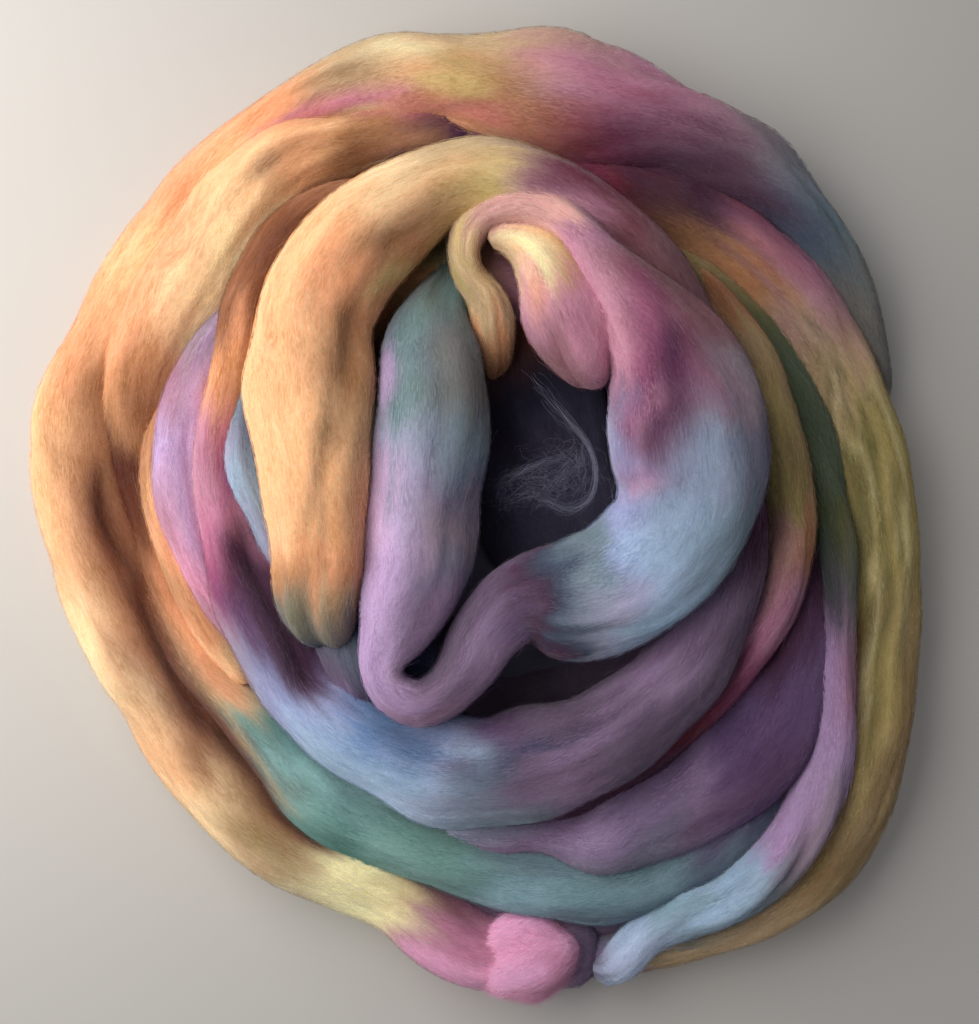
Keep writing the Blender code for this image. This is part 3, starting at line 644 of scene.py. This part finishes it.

# --------------------
# The middle turn: orange and pink down the left, blue and broad across the near side, purple up the right.
# Two short stretches lie along its inside on the left: a blue one, and a slate one under the loop's tip.

# Its first rows take rust, with a dark brown stain over them: painted shade where it lies between the second
# ring and the loop. The plum on its left side down the left, the plum stain in the deep crease there, and
# the navy stains are painted shade too.
roving("middle_turn", 29, (
    (-30, 86, 18, 10, 14, "rust"), (-39, 82, 21, 12, 16, "rust clay"), (-48, 73.5, 24, 15, 18, "rust"),
    (-54.5, 63, 27, 16, 20, "rust"), (-58.8, 52, 29, 15, 21, "rust"),
    (-61.2, 41.7, 30, 14, 21, "peach clay"), (-62.8, 31.3, 31, 13, 21, "tan peach"),
    (-65.3, 18, 32, 13, 22, "salmon blush"), (-65.2, 6, 32, 14, 23, "magenta blush"),
    (-62.5, -6, 32, 17, 24, "mauve rose"), (-59, -15, 32, 21, 25, "plum magenta"),
    (-54.5, -24.5, 32, 23, 26, "plum mauve"), (-49, -36, 32, 22, 26, "plum pearl"),
    (-45, -45, 32.5, 20, 26, "purple periwinkle"), (-37, -53, 33, 20, 26, "periwinkle sky"),
    (-26, -60, 33, 22, 27, "blue sky"), (-12, -65, 33, 26, 28, "periwinkle sky"),
    (3, -66, 33, 30, 28, "purple slate"), (18, -63, 33, 28, 28, "dusk heather"),
    (32, -57, 33, 25, 27, "dusk"), (45, -47, 33, 22, 26, "heather dusk"),
    (56, -35, 32, 21, 25, "heather dusk"), (63, -21, 31, 18, 24, "heather dusk"),
    (66, -6, 30, 16, 22, "plum"), (64, 10, 30, 14, 20, "plum"),
), twist=25, creases=(
    (198, 242, 80, 64, 8, 0.08), (216, 262, 100, 96, 6, 0.04), (104, 160, 66, 54, 34, 0.5),
), stains_and_painted_shade=(
    ("magenta", 100, 128, 130, 126, 20, 0.5), ("purple", 112, 156, 104, 108, 28, 0.85),
    ("plum", 102, 160, 78, 60, 38, 0.97), ("periwinkle", 134, 162, 130, 108, 20, 0.6),
    ("blue", 164, 197, 76, 58, 18, 0.7), ("sky", 189, 205, 56, 60, 14, 0.5),
    ("pearl", 176, 214, 124, 122, 28, 0.5), ("navy", 198, 234, 79, 64, 8, 0.55),
    ("steel", 188, 218, 92, 92, 28, 0.6), ("navy", 170, 196, 60, 60, 22, 0.5),
    ("lilac", 212, 252, 82, 82, 6, 0.35), ("lilac", 244, 264, 50, 60, 10, 0.35),
    ("lavender", 246, 270, 86, 98, 9, 0.3), ("cocoa", 15, 45, 90, 90, 30, 0.6),
))
roving("blue_stretch", 30, (
    (-57, 36, 28, 6, 10, "slate"), (-57.4, 31, 31, 8, 15, "slate"), (-58, 22.8, 33, 10, 18, "steel slate"),
    (-57.7, 12.4, 34, 13, 20, "steel pearl"), (-55.6, 3.5, 34, 14, 20, "slate sky"),
    (-52.6, -4.3, 33, 13.5, 19, "wisp pearl"), (-49.6, -11.4, 31, 12.5, 18, "lilac heather"),
    (-46.5, -18, 28, 11, 16, "purple lilac"), (-43, -25, 25, 9, 14, "plum purple"),
), twist=30)

roving("slate_patch", 36, (
    (-37, -17, 32, 10, 12, "forest steel"), (-36.5, -25, 33, 13, 15, "forest slate"),
    (-34.5, -33, 33.5, 14, 17, "slate wisp"), (-31.5, -41, 33, 13, 16, "steel dusk"),
    (-28, -49, 30, 11, 14, "purple lilac"),
), twist=30)

# --------------------
# Buried turns, which carry the loops, and the floor of the hollow. They show only down in the gaps, where
# their darkest dyes, the browns, ink, navy and near-black, are painted shade.

roving("buried_turn", 31, (
    (56, -10, 30, 22, 22, "plum"), (58, 8, 31, 24, 24, "plum"), (54, 26, 32, 24, 26, "plum"),
    (44, 42, 33, 24, 28, "plum"), (30, 54, 34, 24, 30, "plum"), (12, 60, 33, 24, 28, "mauve rosewood"),
    (-6, 61, 31, 24, 26, "khaki moss"), (-24, 56, 31, 24, 26, "clay khaki"), (-37, 45, 31, 24, 26, "clay"),
    (-42, 30, 31, 24, 26, "clay"), (-42, 14, 31, 24, 26, "clay"), (-38, -2, 31, 24, 26, "plum clay"),
    (-30, -16, 31, 24, 26, "ink navy"), (-22, -28, 30, 22, 24, "ink navy"),
    (-12, -38, 28, 22, 22, "ink navy"), (-2, -46, 26, 22, 20, "ink navy"),
), twist=20, puff=0.8)
roving("buried_crossing", 32, (
    (-16, 52, 29, 18, 20, "forest"), (-15, 38, 30, 22, 22, "ink forest"), (-14, 22, 30, 22, 22, "ink navy"),
    (-15, 6, 30, 22, 22, "ink navy"), (-18, -10, 30, 22, 22, "ink navy"),
    (-24, -26, 29, 18, 20, "ink navy"),
), HIDDEN, puff=0.6)

roving("hollow_floor", 37, (
    (-4, 56, 28, 22, 16, "cocoa"), (3, 46, 29, 32, 18, "cocoa"), (10, 34, 27, 38, 18, "night"),
    (15, 20, 23, 40, 18, "ink night"), (18, 5, 19, 40, 16, "ink"), (20, -10, 15, 34, 14, "ink"),
    (22, -24, 12, 24, 12, "ink"),
), HIDDEN)

# --------------------
# The left loop, on top: mauve from the right, butter yellow over the far side, then broad and orange down
# the left, where it dives in a green tip.

# The rust and tan stains along its creases are painted shade.
roving("left_loop", 33, (
    (59.5, 24, 33, 9, 16, "plum purple"), (58.5, 31, 36, 11, 18, "plum dusk"),
    (54.6, 39.8, 39, 14, 20, "plum dusk"), (50, 47.2, 43, 16, 21, "plum rosewood"),
    (44.4, 54.6, 46, 17.5, 22, "rosewood"), (37.8, 61.9, 48, 18.5, 23, "rosewood"),
    (29.1, 68, 50, 19.7, 24, "rosewood wine"), (18, 74, 50.5, 20.5, 26, "blush rosewood"),
    (5, 77.5, 51, 22, 27, "straw sand"), (-8, 76.5, 52, 22.5, 27, "honey sand"),
    (-19, 71, 53, 25, 28, "tan cream"), (-27.5, 64.5, 53, 26, 28, "tan apricot"),
    (-34, 56, 54, 26.5, 28, "peach apricot"), (-38, 47, 54, 28, 28, "peach apricot"),
    (-38.8, 39.8, 54, 29.4, 28, "tan apricot"), (-39, 29.7, 54, 31.5, 29, "tan apricot"),
    (-39, 20.8, 54, 30.5, 29, "apricot"), (-39.1, 13, 53.5, 27.6, 28, "apricot"),
    (-38.6, 4, 53, 24.8, 28, "apricot"), (-38, -4.9, 51, 22.8, 27, "apricot"),
    (-37.9, -13.7, 48.5, 21.6, 26, "peach tan"), (-38.6, -21.5, 44, 21, 24, "sand ash"),
    (-38.4, -27.4, 38, 18, 20, "ash"), (-37.4, -32, 32, 13, 14, "steel"),
), twist=25, creases=(
    (106, 143, 38, 98, 11, 0.06), (136, 183, 34, 68, 15, 0.13), (174, 197, 66, 104, 8, 0.06),
    (182, 206, 72, 72, 6, 0.05), (198, 232, 96, 98, 13, 0.18),
), stains_and_painted_shade=(
    ("rust", 106, 143, 36, 98, 12, 0.25), ("straw", 114, 141, 16, 42, 16, 0.8),
    ("rust", 134, 182, 34, 66, 20, 0.4), ("orange", 178, 210, 46, 58, 16, 0.5),
    ("tan", 174, 197, 66, 104, 8, 0.4), ("moss", 206, 222, 128, 122, 18, 0.5),
    ("ash", 206, 228, 60, 60, 50, 0.6),
))

# --------------------
# The last turn. It drops beside the hollow, comes back in a tight bend and swells into the broadest stretch
# of all up the right side, then thins to a yellow tail that hangs into the hollow.

# The lace stains, and the sky stains over the top of its swell, are partly the wool's own pale tone, partly
# painted highlight.
roving("last_turn", 34, (
    (-6.6, 67.5, 32, 6, 10, "forest"), (-7.5, 57, 38, 9, 14, "forest"),
    (-10.3, 48.9, 43, 15.2, 18, "sea ash"), (-11.4, 40.6, 46.5, 21.6, 22, "ash slate"),
    (-10.7, 30.8, 49, 26, 25, "ash slate"), (-10.5, 21.9, 50, 27.5, 26, "ash slate"),
    (-11.9, 13.7, 50, 28, 26, "slate pearl"), (-13.4, 3.9, 49.5, 27, 26, "wisp lavender"),
    (-14.2, -6.1, 49, 25.9, 26, "dove lavender"), (-14.8, -14.3, 48.5, 25, 25, "wisp lavender"),
    (-16.9, -22, 48, 22.4, 24, "heather lavender"), (-19.8, -29.6, 47.5, 17.2, 22, "heather lavender"),
    (-23, -36.3, 47, 11.6, 19, "lavender orchid"), (-23.2, -40.4, 46.5, 10.2, 18, "lavender orchid"),
    (-20.6, -45, 46, 10.4, 17, "lavender lilac"), (-14.3, -47.7, 46, 11.4, 18, "heather"),
    (-8.7, -45.6, 46, 11.8, 18, "dusk heather"), (-4.6, -41.8, 46, 13, 19, "dusk heather"),
    (-1.3, -37.1, 46, 14.8, 20, "dusk heather"), (1.3, -31.9, 46, 15.8, 20, "dusk heather"),
    (4.9, -27.7, 46, 17.2, 21, "dusk purple"), (9, -24.2, 45, 20.3, 21, "plum dusk"),
    (14.6, -22.8, 44, 25, 22, "ink plum"), (21.6, -22.6, 44, 29, 23, "steel"),
    (28.8, -21.4, 44.5, 31, 24, "slate pearl"), (36, -18.2, 45.5, 32.4, 25, "slate sky"),
    (42.8, -13, 47, 33.2, 26, "periwinkle sky"), (47.6, -6.8, 49, 34.6, 26, "periwinkle slate"),
    (49.8, 0.4, 51, 35, 27, "periwinkle slate"), (50.6, 7.5, 53, 36, 28, "lilac wisp"),
    (49.9, 14.8, 55, 37, 28, "periwinkle wisp"), (49.3, 22.1, 56, 37.6, 28, "heather dove"),
    (47.6, 29.3, 57, 34.6, 27, "heather dove"), (44.2, 37.1, 58, 30.6, 26, "mauve rosewood"),
    (38.9, 44.3, 58.5, 25, 24, "blush rosewood"), (33.2, 51.1, 59, 18.8, 22, "blush rosewood"),
    (28, 57.2, 59, 13.6, 19, "blush mauve"), (23.8, 63.2, 58.5, 10.6, 16, "blush mauve"),
    (19.4, 67.7, 58, 9.6, 15, "shell"), (13.6, 70.6, 57.5, 9.6, 14.5, "shell"),
    (8.2, 71.2, 57, 9.2, 14, "shell"), (3.1, 70.1, 56, 9, 13.5, "shell"),
    (-1.2, 67, 55, 8.4, 13, "shell sand"), (-3.1, 62.5, 53.5, 7.4, 12.5, "cream straw"),
    (-2.9, 58.3, 51.5, 7, 12.5, "cream sand"), (-1.3, 55.2, 49.5, 8, 13, "cream sand"),
    (1.3, 52.3, 48, 9.2, 13, "cream sand"), (2.9, 48.7, 46, 10.6, 13, "cream sand"),
    (3.4, 45.1, 44, 11, 13, "peach apricot"), (3.8, 41.5, 41, 9.8, 12, "tan peach"),
    (4.2, 38.4, 37, 7.9, 10, "clay tan"), (4.1, 35.8, 32, 4.6, 8, "clay"),
), twist=25, creases=(
    (246, 300, 150, 130, 10, 0.04), (316, 332, 96, 92, 14, 0.06),
), stains_and_painted_shade=(
    ("teal", 18, 38, 92, 112, 22, 0.5), ("teal", 28, 62, 118, 112, 14, 0.35),
    ("lavender", 28, 58, 150, 142, 13, 0.9), ("pearl", 50, 86, 112, 104, 22, 0.5),
    ("lavender", 70, 112, 120, 110, 24, 0.5), ("mauve", 114, 140, 132, 130, 22, 0.5),
    ("lilac", 140, 160, 88, 82, 20, 0.3), ("sky", 188, 226, 62, 92, 26, 0.5),
    ("sky", 190, 240, 96, 92, 30, 0.6), ("lace", 60, 90, 140, 136, 24, 0.6),
    ("lace", 106, 124, 40, 50, 30, 0.7), ("lavender", 180, 199, 104, 106, 13, 0.5),
    ("magenta", 222, 270, 52, 88, 26, 0.6), ("magenta", 236, 276, 84, 96, 26, 0.5),
    ("plum", 220, 264, 54, 100, 15, 0.85), ("mauve", 228, 252, 56, 64, 8, 0.5),
    ("lilac", 210, 232, 30, 50, 20, 0.5), ("pink", 210, 226, 34, 48, 14, 0.4),
    ("pearl", 210, 248, 6, 10, 18, 0.7), ("pink", 246, 292, 30, 34, 18, 0.6),
    ("straw", 318, 336, 60, 60, 30, 0.5),
))
# The tan stain on its left side is painted shade.
roving("inner_fold", 35, (
    (2.2, 64.6, 53.5, 4, 7, "shell peach"), (7.6, 63.9, 55.5, 7, 10, "shell sand"),
    (13.6, 60.6, 56.5, 13.5, 15, "apricot sand"), (17.4, 55.1, 57.5, 17.9, 19, "honey shell"),
    (19.8, 49.6, 57.5, 20.9, 21, "pink blush"), (22, 43.7, 57, 21.1, 21, "pink rosewood"),
    (24.2, 38.6, 55, 18.9, 20, "pink rosewood"), (26.2, 34.4, 52, 15, 17, "pink rosewood"),
    (28.4, 31.4, 47, 10.5, 12, "mauve wine"),
), twist=20, stains_and_painted_shade=(
    ("butter", 1, 25, 108, 88, 24, 0.9), ("tan", 17, 31, 64, 78, 18, 0.55),
    ("peach", 18, 29, 126, 122, 16, 0.5), ("magenta", 27, 43, 96, 96, 22, 0.3),
))

# --------------------
# Loose fibres. Combing leaves fine hairs standing off every turn: most lie along it, some stray across it.
# The round tuft at the outer ring's end is frayed, so it has its own fluff of stray hairs.

HAIRS = 9400  # in each of the two pieces
TUFT_HAIRS = 2400
STRAYS, TUFT_STRAYS = 0.22, 0.95  # the share of the hairs that stray
HAIR_POINTS = 4  # places along a hair
HAIR_RADIUS = 0.026  # millimetres at its root
HAIR_TIP = 0.35  # the tip's radius as a share of the root's
SHORTEST, LONGEST_LAID, LONGEST_STRAY = 5, 24, 13  # millimetres
LAID_DRIFT, STRAY_DRIFT, WAVER = 0.030, 0.10, 0.010  # shares of the way round the section
ROOT_LIFT, LAID_RISE, STRAY_RISE = (0.05, 0.25), (0.0, 0.4), (0.4, 2.4)  # millimetres
PALER = 0.16  # how much paler than the wool a hair is at most
ABOVE = 0.0006  # metres from the skin, where the look for open air starts
OPEN_AIR = 0.004  # metres of room that a hair's root has to have above it
LOWEST_OUT = -0.35  # how far down a root may face
LOWEST_HAIR = 0.0002  # metres above the table
BUNDLE_GAP = 4.0  # between the hairs of a bundle, before they are laid
ACROSS = (0.31, 0.17, 0.93)  # a direction that hardly any hair follows


def hair_bundle(name, count, points):
    """That many thin straight hairs, each with three sides, in one mesh."""
    strand = bmesh.new()
    bmesh.ops.create_cone(strand, cap_ends=True, segments=3, radius1=1.0, radius2=1.0, depth=points - 1.0)
    length_edges = [e for e in strand.edges if abs(e.verts[0].co.z - e.verts[1].co.z) > 0.5]
    bmesh.ops.subdivide_edges(strand, edges=length_edges, cuts=points - 2)
    mesh = bpy.data.meshes.new(name)
    strand.to_mesh(mesh)
    strand.free()
    piece = placed(name, mesh)
    copies = piece.modifiers.new("copies", "ARRAY")
    copies.use_relative_offset = False
    copies.use_constant_offset = True
    copies.constant_offset_displace = (BUNDLE_GAP, 0.0, 0.0)
    copies.count = count
    bpy.context.view_layer.update()
    done = bpy.data.meshes.new_from_object(piece.evaluated_get(bpy.context.evaluated_depsgraph_get()))
    piece.modifiers.clear()
    piece.data = done
    bpy.data.meshes.remove(mesh)
    return piece


def lay_hairs(piece, paths, colours, radius):
    """Bends each hair of the bundle along its own path: an array of count, points and three numbers."""
    mesh = piece.data
    points = paths.shape[1]
    flat = points_of(mesh)
    hair = np.rint(flat[:, 0] / BUNDLE_GAP).astype(int)
    level = np.rint(flat[:, 2] + (points - 1) / 2).astype(int)
    off = np.stack((flat[:, 0] - BUNDLE_GAP * hair, flat[:, 1]), axis=1)
    ahead = np.gradient(paths, axis=1)
    ahead /= np.maximum(np.linalg.norm(ahead, axis=2), 1e-12)[:, :, None]
    aside = np.cross(ahead, ACROSS)
    aside /= np.maximum(np.linalg.norm(aside, axis=2), 1e-12)[:, :, None]
    above = np.cross(aside, ahead)
    thin = np.linspace(1.0, HAIR_TIP, points)[level] * radius * MM
    places = (
        paths[hair, level]
        + aside[hair, level] * (off[:, 0] * thin)[:, None]
        + above[hair, level] * (off[:, 1] * thin)[:, None]
    )
    mesh.vertices.foreach_set("co", places.ravel())
    keep_colours(mesh, colours[hair])
    mesh.shade_smooth()
    mesh.update()


# A single wool fibre has the colour of the turn under its root, painted shade included, a little paler, and
# a soft shine.
HAIR = coloured_material("loose_fibre", 0.6, 0.3)[0]


def show_hairs(name, paths, colours, radius):
    """A bundle of hairs along these paths as a piece of the nest."""
    piece = hair_bundle(name, *paths.shape[:2])
    lay_hairs(piece, paths, colours, radius)
    piece.data.materials.append(HAIR)
    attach(piece, "root")
    return piece


def nest_tree():
    """The turns' surfaces, to find which spots lie open."""
    mixed = bmesh.new()
    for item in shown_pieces():
        if WOOL.name in item.data.materials:
            mixed.from_mesh(item.data)
    tree = BVHTree.FromBMesh(mixed)
    mixed.free()
    return tree


def surface_spot(places, section, point):
    """Places on a stretch's surface at fractions of sections and of points round it."""
    rows, sides = places.shape[0] - 1, places.shape[1] - 1
    section = np.clip(section, 0, rows - 1e-6)
    point = np.mod(point, sides)
    low, side = section.astype(int), point.astype(int)
    part, share = (section - low)[..., None], (point - side)[..., None]
    first = places[low, side] * (1 - share) + places[low, side + 1] * share
    second = places[low + 1, side] * (1 - share) + places[low + 1, side + 1] * share
    return first * (1 - part) + second * part


def comb_out(seed, count, turns, strays):
    """Paths and colours of hairs that start on open spots of the turns and run along them, or stray."""
    dice = np.random.default_rng(seed)
    tree = nest_tree()
    shares = np.array([places.shape[0] for places, _ in turns], float)
    shares /= shares.sum()
    spines = [np.repeat(p[:, :-1].mean(axis=1)[:, None, :], p.shape[1], axis=1) for p, _ in turns]
    along = np.linspace(0, 1, HAIR_POINTS)
    paths, tints = [], []
    while len(paths) < count:
        chosen = int(dice.choice(len(turns), p=shares))
        places, colours = turns[chosen]
        rows, sides = places.shape[0] - 1, places.shape[1] - 1
        section = dice.uniform(2, rows - 2)
        point = dice.uniform(0, sides)
        root = surface_spot(places, np.array(section), np.array(point))
        middle = places[int(section), :-1].mean(axis=0)
        out = Vector(root - middle).normalized()
        if root[2] < OPEN_AIR or out.z < LOWEST_OUT:
            continue
        if tree.ray_cast(Vector(root) + out * ABOVE, out, OPEN_AIR)[0] is not None:
            continue
        stray = dice.random() < strays
        length = dice.uniform(SHORTEST, LONGEST_STRAY if stray else LONGEST_LAID) / FINE[1]
        way = 1 if dice.random() < 0.5 else -1
        drift = dice.normal(0, STRAY_DRIFT if stray else LAID_DRIFT) * sides
        wave = dice.normal(0, WAVER) * sides * np.sin(along * dice.uniform(2, 6) + dice.uniform(0, 6))
        crossed = section + way * length * along
        spots = surface_spot(places, crossed, point + drift * along + wave)
        away = spots - surface_spot(spines[chosen], crossed, point + 0 * along)
        away /= np.maximum(np.linalg.norm(away, axis=1), 1e-9)[:, None]
        rise = dice.uniform(*(STRAY_RISE if stray else LAID_RISE))
        lift = dice.uniform(*ROOT_LIFT) + rise * along**1.6
        path = spots + away * (lift * MM)[:, None]
        path[:, 2] = np.maximum(path[:, 2], LOWEST_HAIR)
        paths.append(path)
        tint = colours[int(section), int(point)]
        tints.append(np.clip(tint + (1 - tint) * dice.uniform(0.0, PALER), 0, 1))
    return np.array(paths), np.array(tints)


for hairs_name, hairs_seed, hair_count, hair_turns, hair_strays in (
    ("loose_fibres_1", 41, HAIRS, COMBED_OUT, STRAYS),
    ("loose_fibres_2", 42, HAIRS, COMBED_OUT, STRAYS),
    ("tuft_fluff", 44, TUFT_HAIRS, [PINK_TUFT], TUFT_STRAYS),
):
    hair_paths, hair_tints = comb_out(hairs_seed, hair_count, hair_turns, hair_strays)
    show_hairs(hairs_name, hair_paths, hair_tints, HAIR_RADIUS).visible_shadow = False

# --------------------
# Wisps in the hollow: pale fibre drawn out of the pink fold, which curls round in a hook, a second strand
# inside it and a thin haze between them. Columns: x, y and z in millimetres, and the fibres' spread there.

HOOK = (
    (11.3, 33.8, 42, 1.6), (17.1, 27.1, 43, 1.6), (22.7, 20.9, 44, 1.0), (27.2, 15, 45, 0.6),
    (29, 8.5, 45, 0.5), (27.5, 2, 45, 0.7), (22.2, -1, 44, 1.0), (17.1, 1.5, 43, 0.8),
    (13.3, 3.3, 43, 0.8), (9.5, 1.8, 42, 1.2), (2.4, 0.2, 41, 1.8),
)
STRAND = ((22.9, 13.4, 45, 0.8), (14.6, 10.6, 44, 0.8), (7.5, 6.7, 43, 0.9), (3.7, 2.8, 42, 1.4))
HAZE = (
    (26, 16.3, 44, 2.4), (23.4, 8.5, 43, 4.2), (17.1, 6.4, 43, 4.6), (10.8, 5.2, 42, 4.2),
    (4.4, 2.8, 41, 3.0),
)
WISP_POINTS = 12
WISP_RADIUS = 0.016  # millimetres


def veil(seed, line, count):
    """Paths of fibres that each follow a part of the line."""
    dice = np.random.default_rng(seed)
    stops, run = smooth_run(line, 1.0)
    paths = []
    for _ in range(count):
        length = dice.uniform(0.15, 0.5) * stops[-1]
        start = dice.uniform(0.0, 1.0) * (stops[-1] - length)
        spots = start + length * np.linspace(0, 1, WISP_POINTS)
        centre = np.column_stack([np.interp(spots, stops, column) for column in run.T])
        curl = np.cumsum(dice.normal(0, 0.22, (WISP_POINTS, 3)), axis=0)
        offset = dice.normal(0, 0.6, 3) + curl
        paths.append(centre[:, :3] - MIDDLE + offset * centre[:, 3:4])
    return np.array(paths) * MM


WISPS = np.concatenate((veil(131, HOOK, 80), veil(111, STRAND, 60), veil(221, HAZE, 170)))
show_hairs("wisps", WISPS, np.tile(dye_and_painted_shade("pearl"), (len(WISPS), 1)), WISP_RADIUS)

# --------------------
# The table: a plain pale surface, with soft daylight from the left, and the camera nearly straight above, as
# the photograph was taken.

bpy.ops.mesh.primitive_plane_add(size=6.0, location=(0.0, 0.0, 0.0))
table = bpy.context.object
table.name = "table"
pale = bpy.data.materials.new("pale_table")
pale.use_nodes = True
pale.node_tree.nodes["Principled BSDF"].inputs["Base Color"].default_value = (0.66, 0.63, 0.59, 1.0)
pale.node_tree.nodes["Principled BSDF"].inputs["Roughness"].default_value = 0.8
table.data.materials.append(pale)

# The window: a square soft light that faces the nest.
window_data = bpy.data.lights.new("window", "AREA")
window_data.shape = "SQUARE"
window_data.size = 0.42
window_data.energy = 1.45
window_data.color = (1.0, 0.985, 0.955)
window = placed("window", window_data)
window.location = (-0.23, 0.09, 0.24)
window.rotation_euler = (-window.location).to_track_quat("-Z", "Y").to_euler()
window.visible_camera = False

world = bpy.data.worlds.new("room_light")
bpy.context.scene.world = world
world.use_nodes = True
world.node_tree.nodes["Background"].inputs["Color"].default_value = (0.92, 0.94, 1.0, 1.0)
world.node_tree.nodes["Background"].inputs["Strength"].default_value = 0.22

SENSOR = 36.0  # millimetres
FOCAL_LENGTH, PICTURE_HEIGHT = 1300, 1024  # in the photograph's points
TILT = 3.0  # degrees from straight down

camera_data = bpy.data.cameras.new("camera")
camera_data.sensor_width = SENSOR
camera_data.lens = SENSOR * FOCAL_LENGTH / PICTURE_HEIGHT
camera = placed("camera", camera_data)
camera.location = (0.0039, -0.01825, 0.3635)
camera.rotation_euler = (math.radians(TILT), 0.0, 0.0)
camera_data.clip_start = 0.01
bpy.context.scene.camera = camera
bpy.context.scene.view_settings.view_transform = "Standard"
